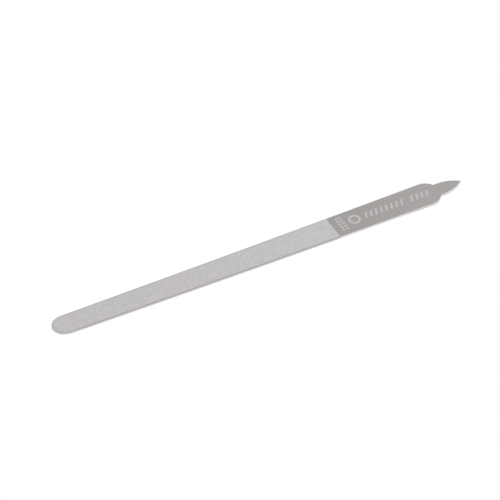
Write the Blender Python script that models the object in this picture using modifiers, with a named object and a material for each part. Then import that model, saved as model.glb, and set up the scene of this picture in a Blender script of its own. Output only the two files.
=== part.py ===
"""Flat metal nail file: a blanked steel strip with a leaf-shaped point, and an abrasive layer on each face.

Lengths are in metres. The file lies flat with its length along X, the round end at -X and the point at +X.
The origin is the middle of its length and width, on the plane that the lower abrasive layer rests on.
Outlines are drawn from the round end's crown, where x is 0, and centred on the origin afterwards.
"""

import math

import bmesh
import bpy

# The steel blank.
OVERALL_LENGTH = 0.165
SHEET_THICKNESS = 0.00085
EDGE_RADIUS = 0.00010

# Its round end is half an ellipse, and its sides widen evenly from there to the shoulders.
ROUND_END_WIDTH = 0.0089
ROUND_END_DEPTH = 0.0053
SHOULDER_WIDTH = 0.01135
SHOULDER_START = 0.1504
SHOULDER_RADIUS = 0.0055

# The leaf beyond the shoulders is bounded by two equal arcs that meet in the point.
LEAF_WIDTH = 0.0059
LEAF_WIDEST_AT = 0.1566

# The abrasive layer on each face stops short of the blank's edges, and ends square at the handle.
ABRASIVE_LENGTH = 0.1122
ABRASIVE_MARGIN = 0.0003
ABRASIVE_THICKNESS = 0.00006

# Points along each round stretch, and steps round each rolled edge.
CROWN_STEPS = 24
SHOULDER_STEPS = 14
LEAF_STEPS = 22
EDGE_STEPS = 2

# Points closer than WELD_DISTANCE are one point. A face lies flat when its normal is within 60 degrees of
# vertical, and an edge is shaded sharp when it turns more than SHARP_ANGLE.
WELD_DISTANCE = 1e-7
LIES_FLAT = math.cos(math.radians(60))
SHARP_ANGLE = math.radians(30)

STEEL = {"name": "satin_steel", "color": (0.49, 0.47, 0.48, 1.0), "roughness": 0.30, "metallic": 1.0}
GRIT = {"name": "bonded_grit", "color": (0.75, 0.75, 0.77, 1.0), "roughness": 0.60, "metallic": 0.6}


def clear_scene():
    for obj in list(bpy.data.objects):
        bpy.data.objects.remove(obj)


def make_material(name, color, roughness, metallic):
    material = bpy.data.materials.new(name)
    material.use_nodes = True
    shader = material.node_tree.nodes["Principled BSDF"]
    shader.inputs["Base Color"].default_value = color
    shader.inputs["Roughness"].default_value = roughness
    shader.inputs["Metallic"].default_value = metallic
    return material


def side_slope():
    """Angle of the +Y side to the centre line."""
    rise = (SHOULDER_WIDTH - ROUND_END_WIDTH) / 2
    return math.atan2(rise, SHOULDER_START - ROUND_END_DEPTH)


def half_width(x):
    """Half the width of the straight-sided stretch at x."""
    return ROUND_END_WIDTH / 2 + (x - ROUND_END_DEPTH) * math.tan(side_slope())


def arc(center, radius, start, end, steps):
    """Points on a circle from one angle to another, both ends included."""
    angles = [start + (end - start) * i / steps for i in range(steps + 1)]
    return [(center[0] + radius * math.cos(a), center[1] + radius * math.sin(a)) for a in angles]


def crown(inset):
    """The +Y half of the round end, from its tip to where the straight side starts, moved in by inset."""
    long_axis = ROUND_END_DEPTH - inset
    short_axis = ROUND_END_WIDTH / 2 - inset
    angles = [math.pi / 2 * i / CROWN_STEPS for i in range(CROWN_STEPS + 1)]
    return [(ROUND_END_DEPTH - long_axis * math.cos(a), short_axis * math.sin(a)) for a in angles]


def outer_crossing(center_a, radius_a, center_b, radius_b):
    """The crossing of two circles that lies further from the centre line."""
    dx, dy = center_b[0] - center_a[0], center_b[1] - center_a[1]
    apart = math.hypot(dx, dy)
    along = (apart**2 + radius_a**2 - radius_b**2) / (2 * apart)
    across = math.sqrt(radius_a**2 - along**2)
    foot = (center_a[0] + along * dx / apart, center_a[1] + along * dy / apart)
    crossings = [
        (foot[0] + sign * across * dy / apart, foot[1] - sign * across * dx / apart) for sign in (1, -1)
    ]
    return max(crossings, key=lambda point: point[1])


def shoulder_and_leaf():
    """The +Y half of the handle end: the shoulder's arc, the notch, and the leaf's arc to the point."""
    slope = side_slope()
    shoulder_center = (
        SHOULDER_START + SHOULDER_RADIUS * math.sin(slope),
        SHOULDER_WIDTH / 2 - SHOULDER_RADIUS * math.cos(slope),
    )
    leaf_reach = OVERALL_LENGTH - LEAF_WIDEST_AT
    leaf_radius = (leaf_reach**2 + (LEAF_WIDTH / 2) ** 2) / LEAF_WIDTH
    leaf_center = (LEAF_WIDEST_AT, LEAF_WIDTH / 2 - leaf_radius)
    notch = outer_crossing(shoulder_center, SHOULDER_RADIUS, leaf_center, leaf_radius)

    shoulder_end = math.atan2(notch[1] - shoulder_center[1], notch[0] - shoulder_center[0])
    leaf_start = math.atan2(notch[1] - leaf_center[1], notch[0] - leaf_center[0])
    leaf_end = math.atan2(-leaf_center[1], leaf_reach)
    shoulder = arc(shoulder_center, SHOULDER_RADIUS, math.pi / 2 + slope, shoulder_end, SHOULDER_STEPS)
    leaf = arc(leaf_center, leaf_radius, leaf_start, leaf_end, LEAF_STEPS)
    return shoulder + leaf[1:]


def whole_outline(half):
    """Both halves of an outline, from its +Y half. Points on the centre line are kept once."""
    mirrored = [(x, -y) for x, y in reversed(half) if y > WELD_DISTANCE]
    points = [(x, max(y, 0.0)) for x, y in half] + mirrored
    return [(x - OVERALL_LENGTH / 2, y) for x, y in points]


def blank_outline():
    return whole_outline(crown(0.0) + shoulder_and_leaf())


def abrasive_outline():
    end_corner = (ABRASIVE_LENGTH, half_width(ABRASIVE_LENGTH) - ABRASIVE_MARGIN)
    return whole_outline(crown(ABRASIVE_MARGIN) + [end_corner])


def plate(name, outline, thickness):
    """A flat solid of this outline, centred on its own origin in thickness."""
    curve = bpy.data.curves.new(name + "_outline", "CURVE")
    curve.dimensions = "2D"
    curve.fill_mode = "BOTH"
    curve.extrude = thickness / 2
    spline = curve.splines.new("POLY")
    spline.points.add(len(outline) - 1)
    for point, (x, y) in zip(spline.points, outline):
        point.co = (x, y, 0.0, 1.0)
    spline.use_cyclic_u = True

    guide = bpy.data.objects.new(name + "_outline", curve)
    bpy.context.scene.collection.objects.link(guide)
    bpy.context.view_layer.update()
    mesh = bpy.data.meshes.new_from_object(guide.evaluated_get(bpy.context.evaluated_depsgraph_get()))
    mesh.name = name
    bpy.data.objects.remove(guide)
    weld_caps(mesh)
    return bpy.data.objects.new(name, mesh)


def weld_caps(mesh):
    """Joins the flat caps to the wall, turns every face outwards, and makes each cap one face."""
    solid = bmesh.new()
    solid.from_mesh(mesh)
    bmesh.ops.remove_doubles(solid, verts=solid.verts, dist=WELD_DISTANCE)
    bmesh.ops.recalc_face_normals(solid, faces=solid.faces)
    for side in (1, -1):
        cap = [face for face in solid.faces if side * face.normal.z > LIES_FLAT]
        bmesh.ops.dissolve_faces(solid, faces=cap)
    solid.to_mesh(mesh)
    solid.free()


def roll_edges(obj):
    """Rounds the edges between the flat faces and the wall, and leaves the notch and point crisp."""
    mesh = obj.data
    rims = {key for face in mesh.polygons if abs(face.normal.z) > LIES_FLAT for key in face.edge_keys}
    weights = mesh.attributes.new("bevel_weight_edge", "FLOAT", "EDGE")
    for edge in mesh.edges:
        weights.data[edge.index].value = float(edge.key in rims)
    bevel = obj.modifiers.new("rolled_edges", "BEVEL")
    bevel.limit_method = "WEIGHT"
    bevel.width = EDGE_RADIUS
    bevel.segments = EDGE_STEPS
    bevel.use_clamp_overlap = False


def place(obj, material, collection, parent, height):
    """Puts a part in the file's collection, at this height of its middle above the resting plane."""
    obj.data.materials.append(material)
    obj.data.shade_smooth()
    obj.data.set_sharp_from_angle(angle=SHARP_ANGLE)
    obj.parent = parent
    obj.location.z = height
    collection.objects.link(obj)


def build():
    clear_scene()
    collection = bpy.data.collections.new("nail_file")
    bpy.context.scene.collection.children.link(collection)
    root = bpy.data.objects.new("nail_file", None)
    collection.objects.link(root)
    steel = make_material(**STEEL)
    grit = make_material(**GRIT)

    blank = plate("steel_blank", blank_outline(), SHEET_THICKNESS)
    roll_edges(blank)
    sheet_middle = ABRASIVE_THICKNESS + SHEET_THICKNESS / 2
    place(blank, steel, collection, root, sheet_middle)

    layer_offset = (SHEET_THICKNESS + ABRASIVE_THICKNESS) / 2
    for name, side in (("upper_abrasive_layer", 1), ("lower_abrasive_layer", -1)):
        layer = plate(name, abrasive_outline(), ABRASIVE_THICKNESS)
        place(layer, grit, collection, root, sheet_middle + side * layer_offset)


build()
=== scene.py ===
"""Looks of the flat metal nail file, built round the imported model.

Lengths are in metres. The file lies along X, with its round end at -X and its point at +X. Outlines are
worked out from the round end's tip, where x is 0, and moved to the frame's origin last, together with the
strip's slight bow.
"""

import math

import bpy
import numpy as np
from mathutils import Matrix, Vector
from mathutils.geometry import delaunay_2d_cdt


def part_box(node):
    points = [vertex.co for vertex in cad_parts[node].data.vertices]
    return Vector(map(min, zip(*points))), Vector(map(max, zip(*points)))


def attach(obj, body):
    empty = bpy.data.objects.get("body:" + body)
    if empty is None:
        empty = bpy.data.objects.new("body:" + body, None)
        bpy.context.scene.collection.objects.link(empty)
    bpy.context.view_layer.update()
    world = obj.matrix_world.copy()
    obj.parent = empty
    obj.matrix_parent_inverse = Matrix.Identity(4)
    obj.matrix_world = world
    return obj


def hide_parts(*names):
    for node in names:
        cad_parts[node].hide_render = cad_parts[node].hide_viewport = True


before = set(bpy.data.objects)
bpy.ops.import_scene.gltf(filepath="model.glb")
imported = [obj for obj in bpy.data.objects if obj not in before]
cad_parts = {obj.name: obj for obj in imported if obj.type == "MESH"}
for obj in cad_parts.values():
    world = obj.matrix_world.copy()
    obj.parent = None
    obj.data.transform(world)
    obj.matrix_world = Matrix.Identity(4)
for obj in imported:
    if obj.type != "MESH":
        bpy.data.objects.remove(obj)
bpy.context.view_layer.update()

MM = 0.001

# Levels and lengths that the CAD nodes give.
BLANK_LOW, BLANK_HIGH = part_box("steel_blank")
UPPER_LOW, UPPER_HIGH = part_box("upper_abrasive_layer")
LOWER_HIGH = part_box("lower_abrasive_layer")[1]
LENGTH = BLANK_HIGH.x - BLANK_LOW.x
HALF_LENGTH = LENGTH / 2
ABRASIVE_END = UPPER_HIGH.x - BLANK_LOW.x
ABRASIVE_MARGIN = UPPER_LOW.x - BLANK_LOW.x
LAYER_THICKNESS = UPPER_HIGH.z - UPPER_LOW.z

# The outline's driving dimensions, the same as the CAD model's.
ROUND_END_WIDTH = 8.9 * MM
ROUND_END_DEPTH = 5.3 * MM
SHOULDER_WIDTH = 11.35 * MM
SHOULDER_START = 150.4 * MM
SHOULDER_RADIUS = 5.5 * MM
LEAF_WIDTH = 5.9 * MM
LEAF_WIDEST_AT = 156.6 * MM

# Points along each stretch of the outline, and columns across the flat faces.
CROWN_STEPS = 40
SIDE_STEPS = 300
SHOULDER_STEPS = 26
LEAF_STEPS = 44
FACE_COLUMNS = 14

# The edges are rolled over a little further along the working stretch than on the handle. A narrow strip on
# each side of a rolled edge keeps the shading of the flat face and of the wall flat.
WORKING_EDGE_RADIUS = 0.035 * MM
HANDLE_EDGE_RADIUS = 0.015 * MM
EDGE_CHANGE_LENGTH = 0.8 * MM
EDGE_STEPS = 6
EDGE_SUPPORT = 0.02 * MM

# A loop of points follows the edges on each flat face. It bounds the margin beside the grit, and lies closer
# to the edges on the handle.
HANDLE_MARGIN = 0.05 * MM

# The cut leans in towards the lower face, and leaves the upper rim this much further out than the lower
# one.
CUT_SPREAD = 0.05 * MM

# The wall is in three bands. Along the working stretch the dull bond coat runs on over the rim and down its
# outer bands, and thins out round the round end. Towards the point the cut's lower band is torn and dull, and
# is coloured darker as a painted shade. The rest of the wall is burnished, and is coloured lighter as a
# painted highlight. The leaf's wall is brightened further by a painted glint.
OUTER_BAND = 0.30 * MM
COAT_THINS = (12.0 * MM, 4.0 * MM)
CUT_CHANGES = (134.0 * MM, 149.0 * MM)
PAINTED_GLINT_STARTS = (155.0 * MM, 159.0 * MM)
BARE_STEEL, RIM_COAT, WALL_COAT, BURNISHED_HIGHLIT_WALL, TORN_SHADED_WALL = range(5)

# The strip bows by this much at its two ends, and the leaf is bent up a little more from the notch on, ever
# faster towards the point.
BOW = 0.297 * MM
LEAF_LIFT = 0.183 * MM
LEAF_LIFT_POWER = 1.3
NOTCH_AT = 154.16 * MM

# The bonded grit. Its points stand about a pitch apart, moved by up to the jitter's share of it, and its
# border is frayed. The bond fills a share of the layer's thickness, and a greater sharpness makes tall grains
# rarer. The triangulation keeps what is inside its border, and joins points nearer than the last value.
GRIT_PITCH = 0.112 * MM
GRIT_JITTER = 0.32
GRIT_FRAY = 0.08 * MM
BOND_SHARE = 0.35
GRAIN_SHARPNESS = 1.6
GRIT_SEEDS = {"upper": 11, "lower": 23}
INSIDE_ONLY = 1
CDT_NEARNESS = 1e-9

# The plain marks on the handle's upper face stand this much proud, with a small chamfer, and lie along one
# line: leaning strokes with one left out, a ring, and two rows of dashes across the handle.
MARK_THICKNESS = 0.012 * MM
MARK_CHAMFER = 0.010 * MM
MARK_SINK = 0.004 * MM
MARK_LINE_Y = 0.33 * MM
HATCH_START = 125.9 * MM
HATCH_COUNT = 13
HATCH_GAP = 8
HATCH_PITCH = 2.1 * MM
HATCH_STROKE = 0.85 * MM
HATCH_HEIGHT = 2.9 * MM
HATCH_LEAN = 1.0 * MM
DASH_ROWS_AT = (115.15 * MM, 116.7 * MM)
DASH_START = -2.7 * MM
DASH_COUNT = 5
DASH_PITCH = 1.55 * MM
DASH_LENGTH = 1.0 * MM
DASH_WIDTH = 0.95 * MM
RING_AT = 121.1 * MM
RING_RADII = (2.4 * MM, 1.4 * MM)
RING_STEPS = 72

# An edge is shaded sharp when it turns more than these. A face lies flat, or leans no further than the rolled
# edge does, when its normal's height is above these.
SHARP_ANGLE = math.radians(35)
MARK_SHARP_ANGLE = math.radians(15)
LIES_FLAT = 0.99
LEANS = 0.5

# Noise textures: cells per metre along X, Y and Z, the stretch of their values that the shades span, and the
# detail of the fine ones.
SATIN_GRAIN = (60, 7000, 7000)
SATIN_CLOUDS = (55, 220, 220)
COAT_MOTTLE = (1500, 5000, 5000)
CUT_STREAKS = (9000, 9000, 700)
GRIT_CLOUDS = (160, 400, 400)
FROST = (9000, 9000, 9000)
NOISE_SPAN = (0.3, 0.7)
FINE_DETAIL = 3.0
CLOUD_DETAIL = 2.0

# A material's shades are the shares of its colour that its noise goes between, and its swing is how far its
# roughness goes either way. Its bump is the height of its relief.
WHITE = (1.0, 1.0, 1.0)
METAL = 1.0

# Satin steel.
STEEL_COLOR = (0.490, 0.472, 0.479)
STEEL_ROUGHNESS = 0.30
SATIN_GRAIN_ROUGHNESS = 0.6
SATIN_SHADES = (0.975, 1.025)
SATIN_CLOUD_SHADES = (0.985, 1.0)
SATIN_SWING = 0.04
SATIN_BUMP = 0.0008 * MM

# The bond coat on the rims and the wall, and its colours where it is thin.
RIM_COAT_COLOR = (0.618, 0.597, 0.588)
THIN_RIM_COAT_COLOR = (0.665, 0.650, 0.635)
WALL_COAT_COLOR = (0.480, 0.457, 0.452)
THIN_WALL_COAT_COLOR = (0.590, 0.572, 0.558)
COAT_METALLIC = 0.8
COAT_SHADES = (0.94, 1.06)
COAT_ROUGHNESS = (0.5, 0.65)
COAT_BUMP = 0.003 * MM

# The cut wall, and what it changes to towards the point: painted highlight and painted shade.
CUT_COLOR = (0.708, 0.682, 0.690)
# Painted highlight: the burnished wall is coloured lighter towards the point.
BURNISHED_HIGHLIGHT_COLOR = (0.79, 0.765, 0.755)
# Painted shade: the torn lower band is coloured dark towards the point.
TORN_SHADE_COLOR = (0.23, 0.215, 0.225)
# Painted glint: the leaf's wall colours are multiplied by this.
LEAF_PAINTED_GLINT = 1.16
TORN_ROUGHNESS = 0.5
CUT_SHADES = (0.97, 1.03)
CUT_SWING = 0.05
CUT_BUMP = 0.001 * MM

# The grit. GRAIN_SHADES gives shares of the grains and the shade that each is reached at. A grain's tint lies
# between warm and cool and between pink and green, and the whole layer's tint drifts along the file.
GRIT_COLOR = (0.752, 0.748, 0.772)
GRIT_METALLIC = 0.6
GRIT_ROUGHNESS = 0.6
GRIT_SWING = 0.1
GRIT_GRAIN = 0.16 * MM
GRIT_BUMP = 0.01 * MM
GRIT_CLOUD_SHADES = (0.99, 1.0)
GRAIN_SHADES = ((0.0, 0.855), (0.5, 1.0), (0.9, 1.07), (1.0, 1.31))
WARM_GRAIN = (1.045, 1.0, 0.955)
COOL_GRAIN = (0.955, 1.0, 1.045)
PINK_GRAIN = (1.02, 0.96, 1.02)
GREEN_GRAIN = (0.98, 1.04, 0.98)
TINT_DRIFTS = (45.0 * MM, 95.0 * MM)
ROUND_END_TINT = (1.002, 0.998, 1.002)
HANDLE_END_TINT = (1.001, 1.009, 1.0)

# The marks.
MARK_COLOR = (0.715, 0.707, 0.728)
MARK_METALLIC = 0.5
MARK_SHADES = (0.93, 1.05)
MARK_ROUGHNESS = (0.6, 0.75)
MARK_BUMP = 0.003 * MM

# Stage and lights: each panel's name, place, aim, size, roll and radiance.
FLOOR_SIZE = 8.0
FLOOR_ALBEDO = 0.035
FLOOR_GLOW = 0.975
SKY_COLOR = (1.0, 0.976, 0.9385)
SKY_RADIANCE = 0.622
PANELS = (
    ("overhead_panel", (0.25, 0.0, 1.5), (0.25, 0.0, 0.0), (2.2, 2.2), 0.0, 0.22),
    ("side_panel", (0.286, 0.245, 0.205), (0.186, 0.050, 0.0), (0.24, 0.5), math.radians(37.1), 0.21),
    ("end_panel", (0.35, 0.0, 0.25), (0.05, 0.0, 0.0), (0.3, 0.3), 0.0, 0.3),
)

# The camera.
VIEW_AZIMUTH = math.radians(27.347)
VIEW_ELEVATION = math.radians(43.179)
VIEW_ROLL = math.radians(0.334)
VIEW_TARGET = (-2.085 * MM, 4.015 * MM, 0.51 * MM)
VIEW_DISTANCE = 1.5
VIEW_WIDTH = 179.51 * MM
VIEW_CLIP = (0.05, 50.0)
SENSOR_WIDTH = 36.0


def rise(x):
    """How far the bowed strip stands above its flat position."""
    along = (x - HALF_LENGTH) / HALF_LENGTH
    leaf = np.clip((x - NOTCH_AT) / (LENGTH - NOTCH_AT), 0.0, None)
    return BOW * along**2 + LEAF_LIFT * leaf**LEAF_LIFT_POWER


def shift_to_frame(points):
    """Moves points from the outline's own x to the frame, and lays them on the bowed strip."""
    placed = np.array(points, float)
    placed[:, 2] += rise(placed[:, 0])
    placed[:, 0] += BLANK_LOW.x
    return placed


def side_slope():
    """Angle of the +Y side to the centre line."""
    return math.atan2((SHOULDER_WIDTH - ROUND_END_WIDTH) / 2, SHOULDER_START - ROUND_END_DEPTH)


def half_width(x):
    """Half the width of the straight-sided stretch."""
    return ROUND_END_WIDTH / 2 + (x - ROUND_END_DEPTH) * math.tan(side_slope())


def outer_crossing(center_a, radius_a, center_b, radius_b):
    """The crossing of two circles that lies further from the centre line."""
    a, b = np.array(center_a), np.array(center_b)
    apart = np.hypot(*(b - a))
    direction = (b - a) / apart
    along = (apart**2 + radius_a**2 - radius_b**2) / (2 * apart)
    across = math.sqrt(radius_a**2 - along**2)
    foot = a + along * direction
    normal = np.array((direction[1], -direction[0]))
    return max((foot + across * normal, foot - across * normal), key=lambda p: p[1])


def arc(center, radius, start, end, steps):
    """Points and outward normals along a circle, both ends included."""
    angles = np.linspace(start, end, steps + 1)
    normals = np.stack([np.cos(angles), np.sin(angles)], 1)
    return np.array(center) + radius * normals, normals


def shoulder_and_leaf():
    """Points and insets of the +Y shoulder's arc and of the leaf's arc, which meet in the notch."""
    slope = side_slope()
    shoulder_center = (
        SHOULDER_START + SHOULDER_RADIUS * math.sin(slope),
        SHOULDER_WIDTH / 2 - SHOULDER_RADIUS * math.cos(slope),
    )
    reach = LENGTH - LEAF_WIDEST_AT
    leaf_radius = (reach**2 + (LEAF_WIDTH / 2) ** 2) / LEAF_WIDTH
    leaf_center = (LEAF_WIDEST_AT, LEAF_WIDTH / 2 - leaf_radius)
    notch = outer_crossing(shoulder_center, SHOULDER_RADIUS, leaf_center, leaf_radius)

    shoulder_start = math.pi / 2 + slope
    shoulder_end = math.atan2(notch[1] - shoulder_center[1], notch[0] - shoulder_center[0])
    leaf_start = math.atan2(notch[1] - leaf_center[1], notch[0] - leaf_center[0])
    leaf_end = math.atan2(-leaf_center[1], reach)
    shoulder, shoulder_insets = arc(
        shoulder_center, SHOULDER_RADIUS, shoulder_start, shoulder_end, SHOULDER_STEPS
    )
    leaf, leaf_insets = arc(leaf_center, leaf_radius, leaf_start, leaf_end, LEAF_STEPS)

    # The notch and the point are corners, so their insets follow the mitre.
    before, after = shoulder_insets[-1], leaf_insets[0]
    shoulder_insets[-1] = (before + after) / (1 + before @ after)
    leaf_insets[-1] = (1 / leaf_insets[-1][0], 0.0)
    return np.concatenate([shoulder, leaf[1:]]), np.concatenate([shoulder_insets, leaf_insets[1:]])


def half_outline():
    """The +Y half of the blank's outline, from the round end's tip to the point.

    Returns the points, and for each the vector that one unit of inset moves it back along.
    """
    turn = np.linspace(0, math.pi / 2, CROWN_STEPS + 1)
    depth, half = ROUND_END_DEPTH, ROUND_END_WIDTH / 2
    crown = np.stack([depth - depth * np.cos(turn), half * np.sin(turn)], 1)
    crown_insets = np.stack([-np.cos(turn) / depth, np.sin(turn) / half], 1)
    crown_insets /= np.linalg.norm(crown_insets, axis=1, keepdims=True)

    slope = side_slope()
    x = np.linspace(ROUND_END_DEPTH, SHOULDER_START, SIDE_STEPS + 1)[1:-1]
    side = np.stack([x, half_width(x)], 1)
    side_insets = np.tile((-math.sin(slope), math.cos(slope)), (len(x), 1))

    handle_end, handle_end_insets = shoulder_and_leaf()
    points = np.concatenate([crown, side, handle_end])
    insets = np.concatenate([crown_insets, side_insets, handle_end_insets])
    points[0, 1] = points[-1, 1] = insets[0, 1] = 0.0
    return points, insets


def edge_radius(x):
    """The rolled edge's radius: large on the working stretch, small on the handle."""
    share = np.clip((x - ABRASIVE_END) / EDGE_CHANGE_LENGTH + 0.5, 0.0, 1.0)
    share = share * share * (3 - 2 * share)
    return WORKING_EDGE_RADIUS + (HANDLE_EDGE_RADIUS - WORKING_EDGE_RADIUS) * share


def edge_levels(x):
    """Pairs of inset and height round the whole edge, from the upper face to the lower one."""
    top, bottom = BLANK_HIGH.z, BLANK_LOW.z
    radius = edge_radius(x)
    none = np.zeros_like(x)
    turns = np.linspace(math.pi / 2, 0, EDGE_STEPS + 1)
    rolled = [(radius * (1 - math.cos(t)), radius * (1 - math.sin(t))) for t in turns]
    flat_strip, wall_strip = (radius + EDGE_SUPPORT, none), (none, radius + EDGE_SUPPORT)
    upper = [flat_strip, *rolled, wall_strip, (none, none + OUTER_BAND)]
    levels = [(inset, top - drop) for inset, drop in upper]
    levels += [(inset, bottom + drop) for inset, drop in reversed(upper)]
    levels = [(inset - CUT_SPREAD * (height - bottom) / (top - bottom), height) for inset, height in levels]

    change = (ABRASIVE_END, ABRASIVE_END + EDGE_CHANGE_LENGTH)
    margin = np.interp(x, change, (ABRASIVE_MARGIN, HANDLE_MARGIN))
    return [(margin, none + top), *levels, (margin, none + bottom)]


def loop_of(chain):
    """A closed loop from the +Y half of a shape that is even about the centre line."""
    mirrored = chain[-2:0:-1] * np.array((1, -1, 1))
    return np.concatenate([chain, mirrored])


class Solid:
    """Collects points and faces for one mesh."""

    def __init__(self):
        self.points = []
        self.faces = []
        self.count = 0

    def add(self, points):
        """Adds points and returns their numbers."""
        self.points.append(np.asarray(points, float).reshape(-1, 3))
        first = self.count
        self.count += len(self.points[-1])
        return np.arange(first, self.count)

    def join_loops(self, upper, lower):
        """A band of quads between two closed loops that run clockwise seen from above."""
        for a, b, c, d in zip(upper, np.roll(upper, -1), np.roll(lower, -1), lower):
            self.faces.append((a, b, c, d))

    def mesh(self, name):
        """The finished mesh, in the frame and bowed."""
        data = bpy.data.meshes.new(name)
        points = shift_to_frame(np.concatenate(self.points))
        data.from_pydata(points.tolist(), [], [tuple(int(i) for i in face) for face in self.faces])
        data.validate()
        data.update()
        return data


def cap_columns(solid, loop, chain, flip):
    """Fills one flat face with columns of quads between the two halves of its loop.

    The columns meet in the chain's two end points, where a face drops its repeated corners.
    """
    count = len(chain)
    shares = np.linspace(1, -1, FACE_COLUMNS + 1)[1:-1]
    rows = [[loop[0]] * (FACE_COLUMNS + 1)]
    for i in range(1, count - 1):
        x, y, z = chain[i]
        inner = solid.add([(x, y * share, z) for share in shares])
        rows.append([loop[i], *inner, loop[2 * count - 2 - i]])
    rows.append([loop[count - 1]] * (FACE_COLUMNS + 1))
    for here, there in zip(rows, rows[1:]):
        for j in range(FACE_COLUMNS):
            face = list(dict.fromkeys((here[j], here[j + 1], there[j + 1], there[j])))
            if len(face) > 2:
                solid.faces.append(tuple(reversed(face)) if flip else tuple(face))


def blank_mesh():
    """The steel strip with its rolled edges."""
    outline, insets = half_outline()
    solid = Solid()
    chains, loops = [], []
    for inset, height in edge_levels(outline[:, 0]):
        chain = np.column_stack([outline - insets * inset[:, None], height])
        chains.append(chain)
        loops.append(solid.add(loop_of(chain)))
    for upper, lower in zip(loops, loops[1:]):
        solid.join_loops(upper, lower)
    cap_columns(solid, loops[0], chains[0], flip=False)
    cap_columns(solid, loops[-1], chains[-1], flip=True)
    return solid.mesh("satin_blank")


def grain_heights(rng, count):
    """Heights of bonded grains above the blank's face: a low bond with sparse tall grains."""
    return LAYER_THICKNESS * (BOND_SHARE + (1 - BOND_SHARE) * rng.random(count) ** GRAIN_SHARPNESS)


def crown_patch(half_columns, seam, rng):
    """The grit round the crown, whose straight side is the seam's points.

    Returns its points with the border first, the number of points in the border, and the triangles.
    """
    long_axis = ROUND_END_DEPTH - ABRASIVE_MARGIN
    short_axis = ROUND_END_WIDTH / 2 - ABRASIVE_MARGIN
    angles = np.linspace(math.pi / 2, -math.pi / 2, 2 * half_columns + 1)[1:-1]
    fray = GRIT_FRAY * rng.random(len(angles))
    rim_x = ROUND_END_DEPTH - (long_axis - fray) * np.cos(angles)
    rim = np.stack([rim_x, (short_axis - fray) * np.sin(angles)], 1)

    seam_gap = ROUND_END_DEPTH - GRIT_PITCH / 2
    x = np.arange(ABRASIVE_MARGIN, seam_gap, GRIT_PITCH)
    y = np.arange(-short_axis, short_axis, GRIT_PITCH)
    grid = np.stack(np.meshgrid(x, y), -1).reshape(-1, 2)
    grid += rng.uniform(-GRIT_JITTER, GRIT_JITTER, grid.shape) * GRIT_PITCH
    reach_x = (ROUND_END_DEPTH - grid[:, 0]) / (long_axis - GRIT_PITCH)
    reach_y = grid[:, 1] / (short_axis - GRIT_PITCH)
    grid = grid[(np.hypot(reach_x, reach_y) < 1) & (grid[:, 0] < seam_gap)]

    border = np.concatenate([seam[::-1], rim])
    flat = np.concatenate([border, grid])
    edges = [(i, (i + 1) % len(border)) for i in range(len(border))]
    vectors = [Vector(point) for point in flat]
    _, _, faces, sources, _, _ = delaunay_2d_cdt(vectors, edges, [], INSIDE_ONLY, CDT_NEARNESS)
    return flat, len(border), [[sources[i][0] for i in face] for face in faces]


def grit_grid(rng):
    """Flat points of the grit's straight stretch, in rows across the file from +Y to -Y."""
    rows = round((ABRASIVE_END - ROUND_END_DEPTH) / GRIT_PITCH)
    wide, narrow = half_width(ABRASIVE_END), half_width(ROUND_END_DEPTH)
    columns = round((wide + narrow - 2 * ABRASIVE_MARGIN) / GRIT_PITCH)
    x = np.linspace(ROUND_END_DEPTH, ABRASIVE_END, rows + 1)
    y = np.outer(half_width(x) - ABRASIVE_MARGIN, np.linspace(1, -1, columns + 1))
    grid = np.stack([np.repeat(x[:, None], columns + 1, 1), y], -1)
    jitter = rng.uniform(-GRIT_JITTER, GRIT_JITTER, grid.shape) * GRIT_PITCH
    grid[1:-1, 1:-1] += jitter[1:-1, 1:-1]
    grid[1:, 0, 1] -= GRIT_FRAY * rng.random(rows)
    grid[1:, -1, 1] += GRIT_FRAY * rng.random(rows)
    return grid


def close_layer(solid, add_face, numbers, rim, base):
    """Takes the layer's border to the blank's face, and closes the hidden side in strips across it."""
    middle = len(rim) // 2
    plus = np.concatenate([rim[:middle][::-1], numbers[:, 0]])
    minus = np.concatenate([rim[middle + 1:], numbers[:, -1]])
    around = np.concatenate([[rim[middle]], plus, numbers[-1, 1:-1], minus[::-1]])
    points = np.concatenate(solid.points)[around]
    points[:, 2] = base
    under = solid.add(points)
    for a, b, c, d in zip(around, np.roll(around, -1), np.roll(under, -1), under):
        add_face(a, b, c, d)

    count = len(plus)
    low_plus, low_minus, low_end = under[1:count + 1], under[-count:][::-1], under[count + 1:-count]
    add_face(under[0], low_plus[0], low_minus[0])
    for i in range(count - 2):
        add_face(low_plus[i], low_plus[i + 1], low_minus[i + 1], low_minus[i])
    add_face(low_plus[-2], low_plus[-1], *low_end, low_minus[-1], low_minus[-2])


def grit_mesh(name, side):
    """One closed layer of bonded grit: side is 1 on the upper face and -1 on the lower one."""
    rng = np.random.default_rng(GRIT_SEEDS[name])
    base = UPPER_LOW.z if side > 0 else LOWER_HIGH.z
    solid = Solid()

    def add_face(*corners):
        solid.faces.append(corners if side > 0 else corners[::-1])

    grid = grit_grid(rng)
    rows, columns = (size - 1 for size in grid.shape[:2])
    heights = grain_heights(rng, grid.shape[:2])
    heights[:, (0, -1)] = heights[-1] = LAYER_THICKNESS * BOND_SHARE
    numbers = solid.add(np.dstack([grid, base + side * heights])).reshape(rows + 1, columns + 1)
    for i in range(rows):
        for j in range(columns):
            add_face(numbers[i, j], numbers[i, j + 1], numbers[i + 1, j + 1], numbers[i + 1, j])

    flat, border, triangles = crown_patch(columns // 2, grid[0], rng)
    crown_heights = grain_heights(rng, len(flat))
    crown_heights[:border] = LAYER_THICKNESS * BOND_SHARE
    fresh = solid.add(np.column_stack([flat, base + side * crown_heights])[columns + 1:])
    crown_numbers = np.concatenate([numbers[0][::-1], fresh])
    for a, b, c in triangles:
        add_face(crown_numbers[a], crown_numbers[b], crown_numbers[c])

    close_layer(solid, add_face, numbers, crown_numbers[columns + 1:border], base)
    return solid.mesh(name + "_grit")


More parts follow.
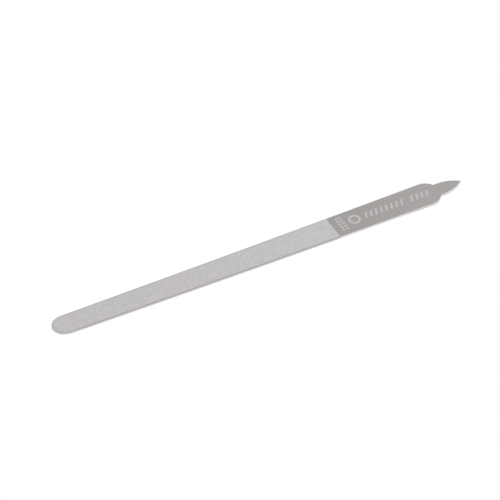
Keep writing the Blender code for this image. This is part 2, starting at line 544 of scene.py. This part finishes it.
def raised(solid, outline):
    """A thin closed plate on the handle's upper face, with this convex outline given clockwise."""
    outline = np.array(outline)
    middle = outline.mean(0)
    reach = np.linalg.norm(outline - middle, axis=1, keepdims=True)
    shrunk = middle + (outline - middle) * (1 - MARK_CHAMFER / reach)
    top = BLANK_HIGH.z + MARK_THICKNESS
    shoulder = top - MARK_THICKNESS / 2
    loops = []
    for flat, height in ((shrunk, top), (outline, shoulder), (outline, BLANK_HIGH.z - MARK_SINK)):
        loops.append(solid.add(np.column_stack([flat, np.full(len(flat), height)])))
    solid.join_loops(loops[0], loops[1])
    solid.join_loops(loops[1], loops[2])
    solid.faces.append(tuple(loops[0][::-1]))
    solid.faces.append(tuple(loops[2]))


def stroke(x, y, along, across, slant):
    """A stroke's outline round its middle, clockwise: its sizes along X and Y, and its lean along X."""
    low, high = y - across / 2, y + across / 2
    return [
        (x - along / 2 - slant / 2, low),
        (x - along / 2 + slant / 2, high),
        (x + along / 2 + slant / 2, high),
        (x + along / 2 - slant / 2, low),
    ]


def hatch_mesh():
    """A plain row of evenly spaced leaning strokes along the handle, with one left out."""
    solid = Solid()
    for i in range(HATCH_COUNT):
        if i != HATCH_GAP:
            x = HATCH_START + HATCH_PITCH * i
            raised(solid, stroke(x, MARK_LINE_Y, HATCH_STROKE, HATCH_HEIGHT, HATCH_LEAN))
    return solid.mesh("hatch_row")


def dash_mesh():
    """Two plain rows of dashes across the handle."""
    solid = Solid()
    for x in DASH_ROWS_AT:
        for i in range(DASH_COUNT):
            raised(solid, stroke(x, DASH_START + DASH_PITCH * i, DASH_WIDTH, DASH_LENGTH, slant=0.0))
    return solid.mesh("dash_rows")


def ring_mesh():
    """One plain ring, made by turning its cross-section."""
    outer, inner = RING_RADII
    top = BLANK_HIGH.z + MARK_THICKNESS
    shoulder, low = top - MARK_THICKNESS / 2, BLANK_HIGH.z - MARK_SINK
    section = (
        (inner + MARK_CHAMFER, top), (outer - MARK_CHAMFER, top), (outer, shoulder),
        (outer, low), (inner, low), (inner, shoulder),
    )
    turns = np.linspace(0, -2 * math.pi, RING_STEPS, endpoint=False)
    solid = Solid()
    loops = []
    for radius, height in section:
        x, y = RING_AT + radius * np.cos(turns), MARK_LINE_Y + radius * np.sin(turns)
        loops.append(solid.add(np.column_stack([x, y, np.full(RING_STEPS, height)])))
    for upper, lower in zip(loops, loops[1:] + loops[:1]):
        solid.join_loops(upper, lower)
    return solid.mesh("plain_ring")


def new_material(name):
    """A new material, its node tree and its shader."""
    material = bpy.data.materials.new(name)
    material.use_nodes = True
    tree = material.node_tree
    return material, tree, tree.nodes["Principled BSDF"]


def scaled_coordinates(tree, scale):
    """The object's own coordinates, multiplied by scale along each axis."""
    coordinates = tree.nodes.new("ShaderNodeTexCoord")
    mapping = tree.nodes.new("ShaderNodeMapping")
    mapping.inputs["Scale"].default_value = scale
    tree.links.new(coordinates.outputs["Object"], mapping.inputs["Vector"])
    return mapping.outputs["Vector"]


def noise(tree, scale, detail, roughness=0.5):
    """A noise texture whose cells are 1 / scale metres along each axis."""
    node = tree.nodes.new("ShaderNodeTexNoise")
    node.inputs["Scale"].default_value = 1.0
    node.inputs["Detail"].default_value = detail
    node.inputs["Roughness"].default_value = roughness
    tree.links.new(scaled_coordinates(tree, scale), node.inputs["Vector"])
    return node.outputs["Fac"]


def grains(tree, size):
    """Three values from 0 to 1 for each grain, and the distance from its middle."""
    node = tree.nodes.new("ShaderNodeTexVoronoi")
    node.inputs["Scale"].default_value = 1.0
    tree.links.new(scaled_coordinates(tree, (1 / size,) * 3), node.inputs["Vector"])
    split = tree.nodes.new("ShaderNodeSeparateColor")
    tree.links.new(node.outputs["Color"], split.inputs["Color"])
    return split.outputs["Red"], split.outputs["Green"], split.outputs["Blue"], node.outputs["Distance"]


def ramp(tree, value, stops):
    """A colour ramp through these (position, colour) stops."""
    node = tree.nodes.new("ShaderNodeValToRGB")
    elements = node.color_ramp.elements
    elements[0].position, elements[0].color = stops[0][0], (*stops[0][1], 1.0)
    elements[1].position, elements[1].color = stops[-1][0], (*stops[-1][1], 1.0)
    for position, color in stops[1:-1]:
        elements.new(position).color = (*color, 1.0)
    tree.links.new(value, node.inputs["Fac"])
    return node.outputs["Color"]


def ranged(tree, value, low, high):
    """Maps a value from 0..1 to low..high."""
    node = tree.nodes.new("ShaderNodeMapRange")
    node.inputs["To Min"].default_value = low
    node.inputs["To Max"].default_value = high
    tree.links.new(value, node.inputs["Value"])
    return node.outputs["Result"]


def along_file(tree, start, end):
    """A value that runs smoothly from 0 to 1 between two places along the outline."""
    coordinates = tree.nodes.new("ShaderNodeTexCoord")
    split = tree.nodes.new("ShaderNodeSeparateXYZ")
    tree.links.new(coordinates.outputs["Object"], split.inputs["Vector"])
    node = tree.nodes.new("ShaderNodeMapRange")
    node.interpolation_type = "SMOOTHSTEP"
    node.inputs["From Min"].default_value = start + BLANK_LOW.x
    node.inputs["From Max"].default_value = end + BLANK_LOW.x
    tree.links.new(split.outputs["X"], node.inputs["Value"])
    return node.outputs["Result"]


def tint(color, share):
    """A share of a colour."""
    return tuple(channel * share for channel in color)


def shaded(tree, value, color, low, high):
    """Goes from the low share of a colour to the high one over the span of a noise value."""
    start, end = NOISE_SPAN
    return ramp(tree, value, ((start, tint(color, low)), (end, tint(color, high))))


def multiplied(tree, first, second):
    """The product of two colours."""
    node = tree.nodes.new("ShaderNodeMix")
    node.data_type = "RGBA"
    node.blend_type = "MULTIPLY"
    node.inputs["Factor"].default_value = 1.0
    tree.links.new(first, node.inputs["A"])
    tree.links.new(second, node.inputs["B"])
    return node.outputs["Result"]


def faded(tree, share, first, second):
    """Goes from the first colour to the second as share goes from 0 to 1."""
    node = tree.nodes.new("ShaderNodeMix")
    node.data_type = "RGBA"
    tree.links.new(share, node.inputs["Factor"])
    node.inputs["A"].default_value = (*first, 1.0)
    node.inputs["B"].default_value = (*second, 1.0)
    return node.outputs["Result"]


def finish_shader(tree, shader, metallic, color, roughness, height, bump):
    """Sets a shader's metallic value, links its colour and roughness, and gives it relief this high."""
    shader.inputs["Metallic"].default_value = metallic
    tree.links.new(color, shader.inputs["Base Color"])
    tree.links.new(roughness, shader.inputs["Roughness"])
    node = tree.nodes.new("ShaderNodeBump")
    node.inputs["Distance"].default_value = bump
    tree.links.new(height, node.inputs["Height"])
    tree.links.new(node.outputs["Normal"], shader.inputs["Normal"])


def satin_steel():
    """Bare steel with a fine lengthwise grain."""
    material, tree, shader = new_material("satin_sheet")
    grain = noise(tree, SATIN_GRAIN, FINE_DETAIL, SATIN_GRAIN_ROUGHNESS)
    fine = shaded(tree, grain, STEEL_COLOR, *SATIN_SHADES)
    broad = shaded(tree, noise(tree, SATIN_CLOUDS, CLOUD_DETAIL), WHITE, *SATIN_CLOUD_SHADES)
    roughness = ranged(tree, grain, STEEL_ROUGHNESS - SATIN_SWING, STEEL_ROUGHNESS + SATIN_SWING)
    finish_shader(tree, shader, METAL, multiplied(tree, fine, broad), roughness, grain, SATIN_BUMP)
    return material


def bond_coat(name, color, thin_color):
    """The bond coat without grit: dull, with its own colour at the round end, where it is thin."""
    material, tree, shader = new_material(name)
    mottle = noise(tree, COAT_MOTTLE, FINE_DETAIL)
    coat = faded(tree, along_file(tree, *COAT_THINS), color, thin_color)
    mottled = multiplied(tree, coat, shaded(tree, mottle, WHITE, *COAT_SHADES))
    roughness = ranged(tree, mottle, *COAT_ROUGHNESS)
    finish_shader(tree, shader, COAT_METALLIC, mottled, roughness, mottle, COAT_BUMP)
    return material


def cut_wall(name, point_color, roughness):
    """The blank's cut wall, which changes to this colour towards the point, streaked from face to face.

    The change paints a highlight on the burnished wall and a shade on the torn one, and the leaf's wall gets
    a painted glint.
    """
    material, tree, shader = new_material(name)
    streaks = noise(tree, CUT_STREAKS, FINE_DETAIL)
    plain = faded(tree, along_file(tree, *CUT_CHANGES), CUT_COLOR, point_color)
    streaked = multiplied(tree, plain, shaded(tree, streaks, WHITE, *CUT_SHADES))
    # A painted glint brightens the leaf's wall.
    glint = faded(tree, along_file(tree, *PAINTED_GLINT_STARTS), WHITE, tint(WHITE, LEAF_PAINTED_GLINT))
    varied = ranged(tree, streaks, roughness - CUT_SWING, roughness + CUT_SWING)
    finish_shader(tree, shader, METAL, multiplied(tree, streaked, glint), varied, streaks, CUT_BUMP)
    return material


def bonded_grit():
    """Pale grit bonded in metal: matte, with grains that differ in brightness and in tint."""
    material, tree, shader = new_material("grit_and_bond")
    grain, hue, tone, distance = grains(tree, GRIT_GRAIN)
    speckle = ramp(tree, grain, [(share, tint(GRIT_COLOR, shade)) for share, shade in GRAIN_SHADES])
    broad = shaded(tree, noise(tree, GRIT_CLOUDS, CLOUD_DETAIL), WHITE, *GRIT_CLOUD_SHADES)
    warmth = faded(tree, hue, WARM_GRAIN, COOL_GRAIN)
    hues = multiplied(tree, warmth, faded(tree, tone, PINK_GRAIN, GREEN_GRAIN))
    drift = faded(tree, along_file(tree, *TINT_DRIFTS), ROUND_END_TINT, HANDLE_END_TINT)
    color = multiplied(tree, multiplied(tree, speckle, broad), multiplied(tree, hues, drift))
    roughness = ranged(tree, grain, GRIT_ROUGHNESS + GRIT_SWING, GRIT_ROUGHNESS - GRIT_SWING)
    finish_shader(tree, shader, GRIT_METALLIC, color, roughness, distance, GRIT_BUMP)
    return material


def frosted_mark():
    """Steel frosted pale and matte where it is marked."""
    material, tree, shader = new_material("frosted_mark")
    frost = noise(tree, FROST, FINE_DETAIL)
    color = shaded(tree, frost, MARK_COLOR, *MARK_SHADES)
    finish_shader(tree, shader, MARK_METALLIC, color, ranged(tree, frost, *MARK_ROUGHNESS), frost, MARK_BUMP)
    return material


def piece(data, material, replaced=None):
    """Puts a mesh on the file's one body with its material, and hides the CAD node it replaces."""
    obj = bpy.data.objects.new(data.name, data)
    bpy.context.scene.collection.objects.link(obj)
    data.materials.append(material)
    data.shade_smooth()
    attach(obj, "root")
    if replaced:
        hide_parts(replaced)
    return obj


def outside_grit(x, y):
    """Whether a point of a flat face lies in the margin beside the grit."""
    if x > ROUND_END_DEPTH:
        return abs(y) > half_width(x) - ABRASIVE_MARGIN
    depth, half = ROUND_END_DEPTH - ABRASIVE_MARGIN, ROUND_END_WIDTH / 2 - ABRASIVE_MARGIN
    return math.hypot((ROUND_END_DEPTH - x) / depth, y / half) > 1


def finish_of(face):
    """Which of the blank's materials a face takes."""
    x = face.center.x - BLANK_LOW.x
    height = face.center.z - rise(x) - (BLANK_HIGH.z + BLANK_LOW.z) / 2
    outer = abs(height) > (BLANK_HIGH.z - BLANK_LOW.z) / 2 - OUTER_BAND
    flat = abs(face.normal.z) > LIES_FLAT
    if x < ABRASIVE_END and outer and (not flat or outside_grit(x, face.center.y)):
        return RIM_COAT if flat else WALL_COAT
    if abs(face.normal.z) > LEANS:
        return BARE_STEEL
    # The lower outer band takes the painted shade, and the rest of the wall takes the painted highlight.
    return TORN_SHADED_WALL if outer and height < 0 else BURNISHED_HIGHLIT_WALL


def make_file():
    """The blank, both layers of grit and the marks."""
    blank = piece(blank_mesh(), satin_steel(), "steel_blank").data
    blank.set_sharp_from_angle(angle=SHARP_ANGLE)
    for other in (
        bond_coat("rim_coat", RIM_COAT_COLOR, THIN_RIM_COAT_COLOR),
        bond_coat("wall_coat", WALL_COAT_COLOR, THIN_WALL_COAT_COLOR),
        # The burnished and torn walls carry painted highlight and painted shade towards the point.
        cut_wall("burnished_highlit_wall", BURNISHED_HIGHLIGHT_COLOR, STEEL_ROUGHNESS),
        cut_wall("torn_shaded_wall", TORN_SHADE_COLOR, TORN_ROUGHNESS),
    ):
        blank.materials.append(other)
    for face in blank.polygons:
        face.material_index = finish_of(face)

    grit = bonded_grit()
    piece(grit_mesh("upper", 1), grit, "upper_abrasive_layer")
    piece(grit_mesh("lower", -1), grit, "lower_abrasive_layer")

    frosted = frosted_mark()
    for mesh in (dash_mesh(), ring_mesh(), hatch_mesh()):
        mark = piece(mesh, frosted).data
        mark.set_sharp_from_angle(angle=MARK_SHARP_ANGLE)


def make_floor():
    """A plain pale floor that glows, so that no shadow shows on it."""
    data = bpy.data.meshes.new("floor")
    edge = FLOOR_SIZE / 2
    corners = [(-edge, -edge, 0), (edge, -edge, 0), (edge, edge, 0), (-edge, edge, 0)]
    data.from_pydata(corners, [], [(0, 1, 2, 3)])
    floor = bpy.data.objects.new("floor", data)
    bpy.context.scene.collection.objects.link(floor)
    material, _, shader = new_material("pale_floor")
    shader.inputs["Base Color"].default_value = (*tint(WHITE, FLOOR_ALBEDO), 1.0)
    shader.inputs["Roughness"].default_value = 1.0
    shader.inputs["Specular IOR Level"].default_value = 0.0
    shader.inputs["Emission Color"].default_value = (*WHITE, 1.0)
    shader.inputs["Emission Strength"].default_value = FLOOR_GLOW
    data.materials.append(material)


def make_lights():
    """A plain sky and soft panels, whose power is pi times their area times their radiance."""
    world = bpy.data.worlds.new("sky")
    world.use_nodes = True
    background = world.node_tree.nodes["Background"]
    background.inputs["Color"].default_value = (*SKY_COLOR, 1.0)
    background.inputs["Strength"].default_value = SKY_RADIANCE
    bpy.context.scene.world = world

    for name, place, aim, size, roll, radiance in PANELS:
        lamp = bpy.data.lights.new(name, "AREA")
        lamp.shape = "RECTANGLE"
        lamp.size, lamp.size_y = size
        lamp.energy = math.pi * size[0] * size[1] * radiance
        panel = bpy.data.objects.new(name, lamp)
        panel.location = place
        facing = (Vector(aim) - Vector(place)).to_track_quat("-Z", "Y").to_matrix()
        panel.rotation_euler = (facing @ Matrix.Rotation(roll, 3, "Z")).to_euler()
        panel.visible_camera = False
        bpy.context.scene.collection.objects.link(panel)


def make_camera():
    """The camera stands off the -X -Y side and looks down on the file."""
    sine, cosine = math.sin(VIEW_AZIMUTH), math.cos(VIEW_AZIMUTH)
    outward, upward = math.cos(VIEW_ELEVATION), math.sin(VIEW_ELEVATION)
    right = Vector((cosine, -sine, 0.0))
    back = Vector((-outward * sine, -outward * cosine, upward))
    axes = Matrix((right, back.cross(right), back)).transposed() @ Matrix.Rotation(-VIEW_ROLL, 3, "Z")
    data = bpy.data.cameras.new("camera")
    data.sensor_width = SENSOR_WIDTH
    data.lens = SENSOR_WIDTH * VIEW_DISTANCE / VIEW_WIDTH
    data.clip_start, data.clip_end = VIEW_CLIP
    camera = bpy.data.objects.new("camera", data)
    camera.matrix_world = Matrix.Translation(Vector(VIEW_TARGET) + back * VIEW_DISTANCE) @ axes.to_4x4()
    bpy.context.scene.collection.objects.link(camera)
    bpy.context.scene.camera = camera


make_file()
make_floor()
make_lights()
make_camera()
bpy.context.scene.view_settings.view_transform = "Standard"

bpy.context.view_layer.update()
